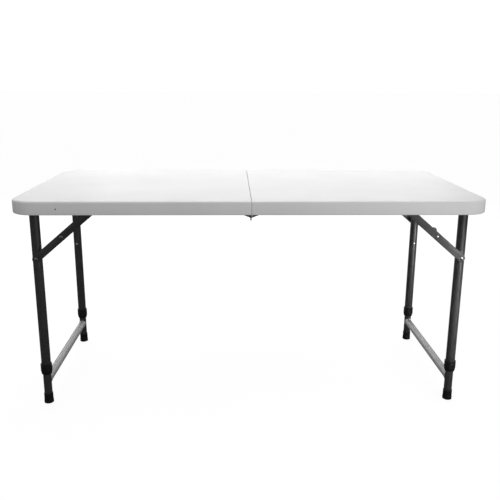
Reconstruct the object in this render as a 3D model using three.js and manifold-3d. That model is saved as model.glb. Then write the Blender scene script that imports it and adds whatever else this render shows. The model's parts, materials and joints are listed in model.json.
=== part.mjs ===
// A fold-in-half table with two folding leg frames of adjustable height.
// Millimetres. X runs along the length, Y from the near long edge to the far one, Z up from the floor.
// The right side is built at +X. The left side is the same pieces turned half round about Z.
import * as THREE from 'three';
import { mergeVertices } from 'three/addons/utils/BufferGeometryUtils.js';
import Module from 'manifold-3d';

// Driving sizes: the top
const TOP_LENGTH = 1220;
const TOP_DEPTH = 610;
const TABLE_HEIGHT = 586;
const RIM_HEIGHT = 34;
const CORNER_RADIUS = 65;
const EDGE_ROUND = 4;
const PANEL_THICKNESS = 13;
const RIM_WALL = 16;
const CENTRE_WALL = 14;
const SEAM_GAP = 0.6;
const NOTCH_CLEARANCE = 2;
const VENT_FROM_CENTRE = 487;
const VENT_BELOW_TOP = 18.5;
const VENT_RADIUS = 2;
const VENT_DEPTH = 4;

// Driving sizes: the leg frames
const LEG_END_INSET = 44;
const LEG_EDGE_INSET = 84;
const LEG_RADIUS = 12.7;
const TUBE_WALL = 1.4;
const PIVOT_BELOW_TOP = 30;
const PIVOT_TUBE_RADIUS = 11;
const CROSSBAR_HEIGHT = 66;
const COLLAR_TOP = 117.6;
const COLLAR_TAPER_TOP = 97;
const COLLAR_BOTTOM = 87;
const COLLAR_LEDGE = 8;
const COLLAR_OVERHANG = 2.8;
const COLLAR_TAPER = 2.1;
const SOFT_EDGE = 1;
const CAP_HEIGHT = 28;
const CAP_FLOOR = 4;
const CAP_OVERHANG = 2;
const CAP_FOOT_ROUND = 1.5;
const CAP_SHOULDER = 3;
const BUTTON_BELOW_TOP = 236;
const BUTTON_RADIUS = 3.5;
const BUTTON_STAND = 2.5;
const HEIGHT_STEPS = 2;
const HOLE_TO_END = 25.4;

// Driving sizes: the braces
const BRACE_DROP = 136;
const BRACE_REACH = 159.5;
const LINK_WIDTH = 20;
const LINK_THICKNESS = 2;
const LOBE_RADIUS = 9;
const LOBE_RISE = 5;
const LOBE_ALONG = 20;
const RIVET_RADIUS = 3.2;
const RIVET_HEAD_RADIUS = 5;
const RIVET_HEAD_HEIGHT = 1.8;
const SPACER_RADIUS = 6;

// Driving sizes: the rails, their brackets and the centre hinges
const RAIL_THICKNESS = 2;
const RAIL_BELOW_RIM = 5;
const RAIL_FLANGE = 24;
const RAIL_END_GAP = 4;
const BRACKET_THICKNESS = 2.2;
const BRACKET_WIDTH = 32;
const BRACKET_EDGE = 3.7;
const HINGE_BELOW_RIM = 12.5;
const HINGE_PIN_RADIUS = 2.9;
const HINGE_LUG_RADIUS = 5.8;
const HINGE_LEAF_LENGTH = 75;
const HINGE_LEAF_TOP = 16;
const HINGE_SLOPE_LENGTH = 48.5;
const HINGE_JOGGLE = 20;
const HINGE_TAB_WIDTH = 3.2;
const HINGE_TAB_DROP = 13;

// Fits and fineness
const GAP = 0.3;
const RUNNING_GAP = 0.3;
const TUBE_SIDES = 24;
const SMALL_SIDES = 12;
const CORNER_STEPS = 5;
const EDGE_STEPS = 3;
const MERGE = 1e-4;

// Heights and positions that follow from the driving sizes
const rimBottom = TABLE_HEIGHT - RIM_HEIGHT;
const panelUnderside = TABLE_HEIGHT - PANEL_THICKNESS;
const pivotHeight = TABLE_HEIGHT - PIVOT_BELOW_TOP;
const hingeHeight = rimBottom - HINGE_BELOW_RIM;
const buttonHeight = TABLE_HEIGHT - BUTTON_BELOW_TOP;
const innerLegTop = pivotHeight - PIVOT_TUBE_RADIUS - LEG_RADIUS;
const heightStep = (innerLegTop - HOLE_TO_END - buttonHeight) / HEIGHT_STEPS;
const legX = TOP_LENGTH / 2 - LEG_END_INSET;
const legY = TOP_DEPTH / 2 - LEG_EDGE_INSET;
const legBore = LEG_RADIUS - TUBE_WALL;
const innerRadius = legBore - RUNNING_GAP;
const innerBore = innerRadius - TUBE_WALL;
const collarRadius = LEG_RADIUS + COLLAR_OVERHANG;
const capRadius = innerRadius + CAP_OVERHANG;

// Layers outward from the table's long centre plane, each one GAP clear of the last
const lowerLinkIn = legY + LEG_RADIUS + GAP;
const lowerLinkOut = lowerLinkIn + LINK_THICKNESS;
const headIn = lowerLinkOut + GAP;
const headOut = headIn + RIVET_HEAD_HEIGHT;
const upperLinkIn = headOut + GAP;
const upperLinkOut = upperLinkIn + LINK_THICKNESS;
const spacerIn = upperLinkOut + GAP;
const spacerOut = spacerIn + RIVET_HEAD_HEIGHT;
const railIn = spacerOut + GAP;
const railOut = railIn + RAIL_THICKNESS;
const bracketOut = railIn - GAP;
const bracketIn = bracketOut - BRACKET_THICKNESS;
const leftLeafIn = railOut + GAP;
const leftLeafOut = leftLeafIn + RAIL_THICKNESS;
const rightLugIn = leftLeafOut + GAP;
const rightLugOut = rightLugIn + RAIL_THICKNESS;

// The brace's three pivots in the X-Z plane of the right side, and its two link lengths.
// The links lie in one line when the leg is out, and fold flat on each other when it is in.
const braceFoot = new THREE.Vector2(legX, pivotHeight - BRACE_DROP);
const braceHead = new THREE.Vector2(legX - BRACE_REACH, pivotHeight);
const braceLine = braceHead.clone().sub(braceFoot).normalize();
const braceAbove = new THREE.Vector2(braceLine.y, -braceLine.x);
const lowerLinkLength = (Math.hypot(BRACE_DROP, BRACE_REACH) - Math.abs(BRACE_REACH - BRACE_DROP)) / 2;
const braceKnee = braceFoot.clone().addScaledVector(braceLine, lowerLinkLength);

const wasm = await Module();
wasm.setup();

const topPlastic = new THREE.MeshStandardMaterial({ color: 0xe6e8ea, roughness: 0.55, metalness: 0 });
const darkPaint = new THREE.MeshStandardMaterial({ color: 0x34363a, roughness: 0.5, metalness: 0.3 });
const greyPaint = new THREE.MeshStandardMaterial({ color: 0xb4b8bc, roughness: 0.4, metalness: 0.4 });
const blackPlastic = new THREE.MeshStandardMaterial({ color: 0x17181a, roughness: 0.6, metalness: 0 });
const blackSteel = new THREE.MeshStandardMaterial({ color: 0x1d1e20, roughness: 0.5, metalness: 0.4 });
const zinc = new THREE.MeshStandardMaterial({ color: 0xc6c9cc, roughness: 0.3, metalness: 0.9 });

// A geometry as a solid that can be joined and cut.
function solidOf(geometry) {
  const bare = geometry.index ? geometry.toNonIndexed() : geometry.clone();
  bare.deleteAttribute('normal');
  bare.deleteAttribute('uv');
  const merged = mergeVertices(bare, MERGE);
  const corners = merged.index.array;
  const kept = [];
  for (let i = 0; i < corners.length; i += 3) {
    const [a, b, c] = corners.slice(i, i + 3);
    if (a !== b && b !== c && c !== a) kept.push(a, b, c);
  }
  return new wasm.Manifold(new wasm.Mesh({
    numProp: 3,
    vertProperties: merged.attributes.position.array,
    triVerts: new Uint32Array(kept),
  }));
}

// A solid as a geometry.
function geometryOf(solid) {
  const mesh = solid.getMesh();
  const geometry = new THREE.BufferGeometry();
  geometry.setAttribute('position', new THREE.BufferAttribute(mesh.vertProperties, 3));
  geometry.setIndex(new THREE.BufferAttribute(mesh.triVerts, 1));
  geometry.computeVertexNormals();
  return geometry;
}

function cut(geometry, ...tools) {
  return geometryOf(tools.reduce((solid, tool) => solid.subtract(solidOf(tool)), solidOf(geometry)));
}

function join(geometry, ...others) {
  return geometryOf(others.reduce((solid, other) => solid.add(solidOf(other)), solidOf(geometry)));
}

// A closed outline of [radius, height] points turned about Z, anticlockwise with radius to the right.
function turned(profile, sides) {
  const points = profile.map(([radius, height]) => new THREE.Vector2(radius, height));
  points.push(points[0].clone());
  return new THREE.LatheGeometry(points, sides).rotateX(Math.PI / 2);
}

function rod(radius, low, high, sides) {
  return turned([[0, low], [radius, low], [radius, high], [0, high]], sides);
}

function tube(bore, radius, low, high) {
  return turned([[bore, low], [radius, low], [radius, high], [bore, high]], TUBE_SIDES);
}

// Turns a geometry that stands along Z so that it lies along Y, its top to the far side or the near side.
function alongY(geometry, edge) {
  return geometry.rotateX(-edge * Math.PI / 2);
}

// A shape drawn in X-Z made into a plate between two distances from the long centre plane.
function plate(shape, edge, inner, outer) {
  const geometry = new THREE.ExtrudeGeometry(shape, {
    depth: outer - inner,
    bevelEnabled: false,
    curveSegments: SMALL_SIDES / 2,
  });
  geometry.rotateX(Math.PI / 2);
  return geometry.translate(0, edge > 0 ? outer : -inner, 0);
}

// A section drawn in Y-Z made into a bar between two distances along X.
function alongX(section, from, to) {
  const bar = new THREE.ExtrudeGeometry(section, { depth: to - from, bevelEnabled: false });
  return bar.rotateX(Math.PI / 2).rotateZ(Math.PI / 2).translate(from, 0, 0);
}

function box(x0, x1, y0, y1, z0, z1) {
  const geometry = new THREE.BoxGeometry(x1 - x0, y1 - y0, z1 - z0);
  return geometry.translate((x0 + x1) / 2, (y0 + y1) / 2, (z0 + z1) / 2);
}

function polygon(points) {
  return new THREE.Shape(points.map(([x, z]) => new THREE.Vector2(x, z)));
}

// A hole with as many sides as the round piece that goes through it, so that their corners line up.
function addHole(shape, centre, radius, sides) {
  const corners = [];
  for (let side = 0; side < sides; side += 1) {
    const angle = -2 * Math.PI * side / sides;
    corners.push(new THREE.Vector2(
      centre.x + radius * Math.cos(angle),
      centre.y + radius * Math.sin(angle),
    ));
  }
  shape.holes.push(new THREE.Path(corners));
  return shape;
}

function addRivetHole(shape, centre) {
  return addHole(shape, centre, RIVET_RADIUS + GAP, SMALL_SIDES);
}

// Half a rectangle, square at the seam and rounded at the table's end.
function halfOutline(seamX, endX, halfDepth, radius) {
  const shape = new THREE.Shape();
  shape.moveTo(seamX, -halfDepth);
  shape.lineTo(endX - radius, -halfDepth);
  shape.absarc(endX - radius, radius - halfDepth, radius, -Math.PI / 2, 0, false);
  shape.absarc(endX - radius, halfDepth - radius, radius, 0, Math.PI / 2, false);
  shape.lineTo(seamX, halfDepth);
  shape.closePath();
  return shape;
}

// One half of the top: a panel with a deep rim, open below, notched where the folded feet reach the seam.
function topHalf() {
  const outline = halfOutline(SEAM_GAP / 2, TOP_LENGTH / 2, TOP_DEPTH / 2, CORNER_RADIUS);
  const slab = new THREE.ExtrudeGeometry(outline, {
    depth: RIM_HEIGHT - 2 * EDGE_ROUND,
    bevelThickness: EDGE_ROUND,
    bevelSize: EDGE_ROUND,
    bevelOffset: -EDGE_ROUND,
    bevelSegments: EDGE_STEPS,
    curveSegments: CORNER_STEPS,
  }).translate(0, 0, rimBottom + EDGE_ROUND);
  const hollow = new THREE.ExtrudeGeometry(
    halfOutline(
      SEAM_GAP / 2 + CENTRE_WALL,
      TOP_LENGTH / 2 - RIM_WALL,
      TOP_DEPTH / 2 - RIM_WALL,
      CORNER_RADIUS - RIM_WALL,
    ),
    { depth: RIM_HEIGHT, bevelEnabled: false, curveSegments: CORNER_STEPS },
  ).translate(0, 0, panelUnderside - RIM_HEIGHT);
  const notchHalf = collarRadius + NOTCH_CLEARANCE;
  const notches = [-1, 1].map((edge) => box(
    -1,
    CENTRE_WALL + NOTCH_CLEARANCE,
    edge * legY - notchHalf,
    edge * legY + notchHalf,
    rimBottom - 1,
    panelUnderside - GAP,
  ));
  return cut(slab, hollow, ...notches);
}

// The small blind hole in the near face of the left half's rim.
function ventHole() {
  const hole = rod(VENT_RADIUS, 0, 2 * VENT_DEPTH, SMALL_SIDES);
  alongY(hole, 1);
  return hole.translate(-VENT_FROM_CENTRE, -TOP_DEPTH / 2 - VENT_DEPTH, TABLE_HEIGHT - VENT_BELOW_TOP);
}

// How far along X the hollow's rounded corner lets a rail reach, at the rail's outer edge.
function railEnd() {
  const cornerY = TOP_DEPTH / 2 - CORNER_RADIUS;
  const into = Math.max(0, railIn + RAIL_FLANGE + GAP - cornerY);
  const reach = Math.sqrt((CORNER_RADIUS - RIM_WALL) ** 2 - into ** 2);
  return TOP_LENGTH / 2 - CORNER_RADIUS + reach - RAIL_END_GAP;
}

// An angle rail under the panel: an upright flange beside the leg and a flat one towards the rim.
function sideRail(edge) {
  const top = panelUnderside - GAP;
  const low = rimBottom - RAIL_BELOW_RIM;
  const start = SEAM_GAP / 2 + CENTRE_WALL + RAIL_END_GAP;
  const section = polygon([
    [edge * railIn, low],
    [edge * railOut, low],
    [edge * railOut, top - RAIL_THICKNESS],
    [edge * (railIn + RAIL_FLANGE), top - RAIL_THICKNESS],
    [edge * (railIn + RAIL_FLANGE), top],
    [edge * railIn, top],
  ]);
  const rail = alongX(section, start, railEnd());
  const hole = rod(RIVET_RADIUS + GAP, railIn - RAIL_THICKNESS, railOut + RAIL_THICKNESS, SMALL_SIDES);
  return cut(rail, alongY(hole, edge).translate(braceHead.x, 0, braceHead.y));
}

// The plate on the rail that carries one end of the pivot tube.
function pivotBracket(edge) {
  const bore = PIVOT_TUBE_RADIUS + RUNNING_GAP;
  const eye = bore + BRACKET_EDGE;
  const half = BRACKET_WIDTH / 2;
  const top = panelUnderside - GAP;
  const shape = new THREE.Shape();
  shape.moveTo(legX + half, top);
  shape.lineTo(legX - half, top);
  shape.lineTo(legX - half, top - RAIL_THICKNESS * 2);
  shape.absarc(legX, pivotHeight, eye, Math.PI, 2 * Math.PI, false);
  shape.lineTo(legX + half, top - RAIL_THICKNESS * 2);
  shape.closePath();
  addHole(shape, new THREE.Vector2(legX, pivotHeight), bore, TUBE_SIDES);
  return plate(shape, edge, bracketIn, bracketOut);
}

// The tube that a leg frame turns on, from one rail to the other.
function pivotTube() {
  const end = railIn - 2 * GAP;
  const geometry = tube(PIVOT_TUBE_RADIUS - TUBE_WALL, PIVOT_TUBE_RADIUS, -end, end);
  return alongY(geometry, 1).translate(legX, 0, pivotHeight);
}

// An outer leg, coped round the pivot tube, with holes for the brace rivet and the snap button.
function outerLeg(edge) {
  const y = edge * legY;
  const top = pivotHeight - PIVOT_TUBE_RADIUS / 2;
  const leg = tube(legBore, LEG_RADIUS, COLLAR_BOTTOM + COLLAR_LEDGE + GAP, top).translate(legX, y, 0);
  const cope = rod(PIVOT_TUBE_RADIUS + GAP, -2 * LEG_RADIUS, 2 * LEG_RADIUS, TUBE_SIDES);
  alongY(cope, 1).translate(legX, y, pivotHeight);
  const rivetHole = rod(RIVET_RADIUS + GAP, 0, 2 * LEG_RADIUS, SMALL_SIDES);
  alongY(rivetHole, edge).translate(legX, y, braceFoot.y);
  const buttonHole = rod(BUTTON_RADIUS + GAP, 0, 2 * LEG_RADIUS, SMALL_SIDES);
  alongY(buttonHole, -edge).translate(legX, y, buttonHeight);
  return cut(leg, cope, rivetHole, buttonHole);
}

// An inner leg, with one hole for the snap button at each height setting.
function innerLeg(edge) {
  const y = edge * legY;
  const leg = tube(innerBore, innerRadius, CAP_FLOOR + GAP, innerLegTop).translate(legX, y, 0);
  const holes = [];
  for (let step = 0; step <= HEIGHT_STEPS; step += 1) {
    const hole = rod(BUTTON_RADIUS + GAP, 0, 2 * LEG_RADIUS, SMALL_SIDES);
    alongY(hole, -edge).translate(legX, y, buttonHeight + step * heightStep);
    holes.push(hole);
  }
  return cut(leg, ...holes);
}

// The bar between the two inner legs, coped round each of them.
function crossbar() {
  const bar = tube(innerRadius - TUBE_WALL, innerRadius, -legY, legY);
  alongY(bar, 1).translate(legX, 0, CROSSBAR_HEIGHT);
  const copes = [-1, 1].map((edge) => rod(
    innerRadius + GAP,
    CROSSBAR_HEIGHT - 2 * innerRadius,
    CROSSBAR_HEIGHT + 2 * innerRadius,
    TUBE_SIDES,
  ).translate(legX, edge * legY, 0));
  return cut(bar, ...copes);
}

// The tapered bush on an outer leg's lower end, which the inner leg slides through.
function collar(edge) {
  const ledge = COLLAR_BOTTOM + COLLAR_LEDGE;
  return turned([
    [innerRadius + RUNNING_GAP, COLLAR_BOTTOM],
    [collarRadius - COLLAR_TAPER, COLLAR_BOTTOM],
    [collarRadius, COLLAR_TAPER_TOP],
    [collarRadius, COLLAR_TOP - SOFT_EDGE],
    [collarRadius - SOFT_EDGE, COLLAR_TOP],
    [LEG_RADIUS + GAP, COLLAR_TOP],
    [LEG_RADIUS + GAP, ledge],
    [innerRadius + RUNNING_GAP, ledge],
  ], TUBE_SIDES).translate(legX, edge * legY, 0);
}

// The cup that an inner leg stands in.
function footCap(edge) {
  const bore = innerRadius + GAP;
  return turned([
    [0, 0],
    [capRadius - CAP_FOOT_ROUND, 0],
    [capRadius, CAP_FOOT_ROUND],
    [capRadius, CAP_HEIGHT - CAP_SHOULDER],
    [capRadius - SOFT_EDGE, CAP_HEIGHT],
    [bore, CAP_HEIGHT],
    [bore, CAP_FLOOR],
    [0, CAP_FLOOR],
  ], TUBE_SIDES).translate(legX, edge * legY, 0);
}

// The domed button that holds a leg's height. Its base is flush with the outer leg's bore.
function snapButton(edge) {
  const base = legBore + GAP / 2;
  const tip = LEG_RADIUS + BUTTON_STAND;
  const geometry = turned([
    [0, base],
    [BUTTON_RADIUS, base],
    [BUTTON_RADIUS, tip - 1.2],
    [BUTTON_RADIUS * 0.8, tip - 0.4],
    [BUTTON_RADIUS * 0.4, tip],
    [0, tip],
  ], SMALL_SIDES);
  return alongY(geometry, -edge).translate(legX, edge * legY, buttonHeight);
}

// A flat link with a round end about each of two pivots.
function linkShape(from, to) {
  const angle = Math.atan2(to.y - from.y, to.x - from.x);
  const radius = LINK_WIDTH / 2;
  const shape = new THREE.Shape();
  shape.absarc(from.x, from.y, radius, angle + Math.PI / 2, angle + 1.5 * Math.PI, false);
  shape.absarc(to.x, to.y, radius, angle - Math.PI / 2, angle + Math.PI / 2, false);
  shape.closePath();
  return shape;
}

function lowerLink(edge) {
  const shape = addRivetHole(linkShape(braceFoot, braceKnee), braceFoot);
  return plate(shape, edge, lowerLinkIn, lowerLinkOut);
}

// The near link of the right side, and so the far link of the left side, has a lobe beside its knee.
function upperLink(edge) {
  const shape = addRivetHole(linkShape(braceKnee, braceHead), braceKnee);
  addRivetHole(shape, braceHead);
  const link = plate(shape, edge, upperLinkIn, upperLinkOut);
  if (edge > 0) return link;
  const centre = braceKnee.clone().addScaledVector(braceAbove, LOBE_RISE).addScaledVector(braceLine, LOBE_ALONG);
  const lobe = new THREE.Shape();
  lobe.absarc(centre.x, centre.y, LOBE_RADIUS, 0, 2 * Math.PI, false);
  return join(link, plate(lobe, edge, upperLinkIn, upperLinkOut));
}

// The outline of a domed head that starts at a distance out along the rivet.
function headOutline(start) {
  return [
    [RIVET_HEAD_RADIUS, start],
    [RIVET_HEAD_RADIUS, start + RIVET_HEAD_HEIGHT * 0.4],
    [RIVET_HEAD_RADIUS * 0.75, start + RIVET_HEAD_HEIGHT * 0.85],
    [RIVET_HEAD_RADIUS * 0.35, start + RIVET_HEAD_HEIGHT],
    [0, start + RIVET_HEAD_HEIGHT],
  ];
}

function rivet(edge, pivot, profile) {
  return alongY(turned(profile, SMALL_SIDES), edge).translate(pivot.x, 0, pivot.y);
}

// Holds the lower link on the leg. It ends inside the leg's wall, clear of the inner leg.
function legRivet(edge) {
  const start = legY + legBore + GAP / 2;
  return rivet(edge, braceFoot, [[0, start], [RIVET_RADIUS, start], [RIVET_RADIUS, headIn], ...headOutline(headIn)]);
}

// The knee's rivet. It is fixed in the upper link and stops clear of the lower one.
function kneeRivet(edge) {
  return rivet(edge, braceKnee, [
    [0, headIn],
    [SPACER_RADIUS, headIn],
    [SPACER_RADIUS, headOut],
    [RIVET_RADIUS, headOut],
    [RIVET_RADIUS, spacerIn],
    ...headOutline(spacerIn),
  ]);
}

// Holds the upper link on the rail, with a spacer between the two.
function railRivet(edge) {
  return rivet(edge, braceHead, [
    [0, headIn],
    [RIVET_HEAD_RADIUS, headIn],
    [RIVET_HEAD_RADIUS, headOut],
    [RIVET_RADIUS, headOut],
    [RIVET_RADIUS, spacerIn],
    [SPACER_RADIUS, spacerIn],
    [SPACER_RADIUS, spacerOut],
    [RIVET_RADIUS, spacerOut],
    [RIVET_RADIUS, leftLeafIn],
    ...headOutline(leftLeafIn),
  ]);
}

// A hinge leaf's plate from one distance along the rail to another, wedge-shaped towards the pin.
function leafShape() {
  const top = rimBottom + HINGE_LEAF_TOP;
  const under = rimBottom - 2 * GAP;
  const clear = SEAM_GAP / 2 + CENTRE_WALL + 2 * GAP;
  const rise = (rimBottom - hingeHeight + HINGE_LUG_RADIUS) / HINGE_SLOPE_LENGTH;
  const tilt = Math.atan(rise);
  const shape = new THREE.Shape();
  shape.moveTo(HINGE_LEAF_LENGTH, rimBottom + 2 * GAP);
  shape.lineTo(HINGE_LEAF_LENGTH, top);
  shape.lineTo(clear, top);
  shape.lineTo(clear, under);
  shape.lineTo(HINGE_LUG_RADIUS * 0.5, under);
  shape.absarc(0, hingeHeight, HINGE_LUG_RADIUS, Math.PI * 0.75, 1.5 * Math.PI + tilt, false);
  shape.lineTo(HINGE_SLOPE_LENGTH, rimBottom);
  shape.closePath();
  return addHole(shape, new THREE.Vector2(0, hingeHeight), HINGE_PIN_RADIUS + GAP, SMALL_SIDES);
}

// The right leaf turns outside the left one, so it is packed out to the rail beyond its joggle.
function rightLeaf(edge) {
  const lug = plate(leafShape(), edge, rightLugIn, rightLugOut);
  const low = rimBottom + 2 * GAP;
  const pack = polygon([
    [HINGE_JOGGLE, low],
    [HINGE_LEAF_LENGTH, low],
    [HINGE_LEAF_LENGTH, rimBottom + HINGE_LEAF_TOP],
    [HINGE_JOGGLE, rimBottom + HINGE_LEAF_TOP],
  ]);
  return join(lug, plate(pack, edge, leftLeafIn, rightLugIn + RAIL_THICKNESS / 2));
}

// The left leaf, with the narrow tab that hangs below its pin.
function leftLeaf(edge) {
  const leaf = plate(leafShape(), edge, leftLeafIn, leftLeafOut);
  const half = HINGE_TAB_WIDTH / 2;
  const high = hingeHeight - HINGE_PIN_RADIUS - 2 * GAP;
  const low = hingeHeight - HINGE_TAB_DROP;
  const tab = polygon([[-half, low], [half, low], [half, high], [-half, high]]);
  const turnedLeaf = leaf.rotateZ(Math.PI).translate(0, edge * (leftLeafIn + leftLeafOut), 0);
  return join(turnedLeaf, plate(tab, edge, leftLeafIn, leftLeafOut));
}

function hingePin(edge) {
  const start = leftLeafIn - GAP - RIVET_HEAD_HEIGHT;
  const end = rightLugOut + GAP;
  return rivet(edge, new THREE.Vector2(0, hingeHeight), [
    [0, start],
    [RIVET_HEAD_RADIUS, start],
    [RIVET_HEAD_RADIUS, start + RIVET_HEAD_HEIGHT],
    [HINGE_PIN_RADIUS, start + RIVET_HEAD_HEIGHT],
    [HINGE_PIN_RADIUS, end],
    ...headOutline(end),
  ]);
}

const table = new THREE.Group();
table.name = 'folding_table';

function addNode(name, geometry, material) {
  const mesh = new THREE.Mesh(geometry, material);
  mesh.name = name;
  table.add(mesh);
}

// Every piece of one side that comes in a pair, near and far.
const PAIRED = [
  ['side_rail', sideRail, blackSteel],
  ['pivot_bracket', pivotBracket, blackSteel],
  ['outer_leg', outerLeg, darkPaint],
  ['inner_leg', innerLeg, darkPaint],
  ['collar', collar, blackPlastic],
  ['foot_cap', footCap, blackPlastic],
  ['snap_button', snapButton, zinc],
  ['lower_link', lowerLink, darkPaint],
  ['upper_link', upperLink, darkPaint],
  ['leg_rivet', legRivet, zinc],
  ['knee_rivet', kneeRivet, zinc],
  ['rail_rivet', railRivet, zinc],
];

for (const side of ['left', 'right']) {
  const turn = side === 'left' ? Math.PI : 0;
  const half = topHalf().rotateZ(turn);
  addNode(`top_${side}`, side === 'left' ? cut(half, ventHole()) : half, topPlastic);
  addNode(`pivot_tube_${side}`, pivotTube().rotateZ(turn), darkPaint);
  addNode(`crossbar_${side}`, crossbar().rotateZ(turn), greyPaint);
  for (const place of ['near', 'far']) {
    const edge = (place === 'near' ? -1 : 1) * (side === 'left' ? -1 : 1);
    for (const [piece, make, material] of PAIRED) {
      addNode(`${piece}_${side}_${place}`, make(edge).rotateZ(turn), material);
    }
  }
}

for (const [place, edge] of [['near', -1], ['far', 1]]) {
  addNode(`hinge_leaf_left_${place}`, leftLeaf(edge), blackSteel);
  addNode(`hinge_leaf_right_${place}`, rightLeaf(edge), blackSteel);
  addNode(`hinge_pin_${place}`, hingePin(edge), zinc);
}

export default table;
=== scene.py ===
"""Looks of a fold-in-half table with folding leg frames. Metres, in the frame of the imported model."""

import json
import math

import bmesh
import bpy
from mathutils import Matrix, Vector

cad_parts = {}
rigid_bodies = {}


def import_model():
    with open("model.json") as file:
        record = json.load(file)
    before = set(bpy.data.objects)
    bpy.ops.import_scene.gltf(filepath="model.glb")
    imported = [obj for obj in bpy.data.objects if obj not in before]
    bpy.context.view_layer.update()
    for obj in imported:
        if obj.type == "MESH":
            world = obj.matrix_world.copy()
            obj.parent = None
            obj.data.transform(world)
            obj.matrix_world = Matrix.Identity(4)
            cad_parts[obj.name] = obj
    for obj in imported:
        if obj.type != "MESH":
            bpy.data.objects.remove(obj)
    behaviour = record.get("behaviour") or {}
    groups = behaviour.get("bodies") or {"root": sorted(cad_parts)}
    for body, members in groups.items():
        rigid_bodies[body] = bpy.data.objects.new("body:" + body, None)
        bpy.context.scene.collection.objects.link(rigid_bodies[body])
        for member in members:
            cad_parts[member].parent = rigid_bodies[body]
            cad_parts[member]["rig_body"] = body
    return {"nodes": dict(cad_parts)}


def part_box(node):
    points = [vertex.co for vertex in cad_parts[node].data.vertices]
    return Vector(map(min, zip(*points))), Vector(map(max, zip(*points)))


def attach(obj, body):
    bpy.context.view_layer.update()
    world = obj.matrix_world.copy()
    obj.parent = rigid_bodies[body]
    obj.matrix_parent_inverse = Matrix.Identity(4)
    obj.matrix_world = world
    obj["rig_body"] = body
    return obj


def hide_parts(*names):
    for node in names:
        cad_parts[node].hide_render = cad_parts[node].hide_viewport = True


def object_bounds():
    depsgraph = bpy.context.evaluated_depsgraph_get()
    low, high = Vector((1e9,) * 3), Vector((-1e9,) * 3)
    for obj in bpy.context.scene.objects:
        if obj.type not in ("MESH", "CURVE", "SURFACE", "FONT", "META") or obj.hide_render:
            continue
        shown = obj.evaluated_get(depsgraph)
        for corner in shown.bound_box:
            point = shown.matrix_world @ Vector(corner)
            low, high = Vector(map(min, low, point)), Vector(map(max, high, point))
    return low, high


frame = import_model()
cad_low, cad_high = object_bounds()

# Sizes the moulded top adds to the box of its CAD node
CORNER_RADIUS = 0.065
EDGE_ROUND = 0.0042
SEAM_ROUND = 0.0007
RIM_WALL = 0.016
CENTRE_WALL = 0.014
PANEL_UNDERSIDE = 0.573
RIM_FOOT_ROUND = 0.0026
INNER_ROUND = 0.002
CORNER_STEPS = 14
NOTCH_HALF = 0.0175
NOTCH_TOP = 0.5727
NOTCH_ROUND = 0.005
DIMPLE_PITCH = 0.03
DIMPLE_RADIUS = 0.0058
DIMPLE_DEPTH = 0.0065
VENT_RADIUS = 0.0022
VENT_FROM_CENTRE = 0.487
VENT_HEIGHT = 0.5675
VENT_DEPTH = 0.012
VENT_START = 0.006
MIDDLE_INSET = 0.09
MIDDLE_CORNER = 0.02

# Sizes of the steel and plastic pieces, where a hole or a shank is given by its radius
CLEARANCE = 0.0003
SOFT = 0.0003
OVERLAP = 0.0001
TUBE_WALL = 0.0014
BUTTON_HOLE = 0.0038
BUTTON_HOLE_REACH = 0.018
HEIGHT_STEP = 0.07845
LINK_HALF_WIDTH = 0.01
LOBE_RADIUS = 0.009
LOBE_RISE = 0.005
LOBE_ALONG = 0.020
PLATE_EDGE = 0.00035
RIVET_HOLE = 0.0034
RIVET_HEAD = 0.0018
HEAD_STEPS = 7
LINK_END_STEPS = 16
WELD_RADIUS = 0.0017
WELD_STEPS = 44
WELD_SIDES = 8
WELD_RIPPLE = 0.16
WELD_RIPPLE_TURN = 2.1
RAIL_THICKNESS = 0.002
RAIL_END_SHRINK = 0.0002
HINGE_CLEARANCE = 0.0006
HINGE_SLOPE_END = 0.0485
HINGE_HOLE = 0.0032
HINGE_SHANK = 0.0029
HINGE_TAB_HALF = 0.0016
HINGE_TAB_BELOW_PIN = 0.0035
HINGE_PACKING_START = 0.02
TURNED_SIDES = 48
SMALL_SIDES = 28

# Studio
FLOOR_REACH = 60
FLOOR_DROP = 0.0002
FLOOR_GLOW = 0.90
BACKDROP = 1.03
AMBIENT = 0.6
CAMERA_PLACE = (-0.04939, -1.8748, 0.8742)
CAMERA_YAW = math.radians(1.660)
CAMERA_PITCH = math.radians(14.688)
CAMERA_ROLL = math.radians(0.277)
SENSOR = 36
LENS = 46.0656


# ---------------------------------------------------------------- mesh making


def box_of(node):
    """Lowest corner, highest corner and middle of a CAD node."""
    low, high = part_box(node)
    return low, high, (low + high) / 2


def filleted(points, radius, closed=True, steps=4):
    """An outline with its corners rounded. The radius is one number, or one for each corner."""
    radii = radius if hasattr(radius, "__len__") else [radius] * len(points)
    corners = [Vector((x, y)) for x, y in points]
    made = []
    for i, corner in enumerate(corners):
        ends = not closed and i in (0, len(corners) - 1)
        if ends or radii[i] <= 0:
            made.append(tuple(corner))
            continue
        back = corners[i - 1] - corner
        ahead = corners[(i + 1) % len(corners)] - corner
        half = back.angle(ahead) / 2
        if half > math.radians(89):
            made.append(tuple(corner))
            continue
        reach = min(radii[i] / math.tan(half), 0.48 * min(back.length, ahead.length))
        used = reach * math.tan(half)
        back.normalize()
        ahead.normalize()
        centre = corner + (back + ahead).normalized() * (used / math.sin(half))
        start = corner + back * reach - centre
        end = corner + ahead * reach - centre
        for k in range(steps + 1):
            spoke = start.lerp(end, k / steps)
            made.append(tuple(centre + spoke.normalized() * used))
    return made


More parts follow.
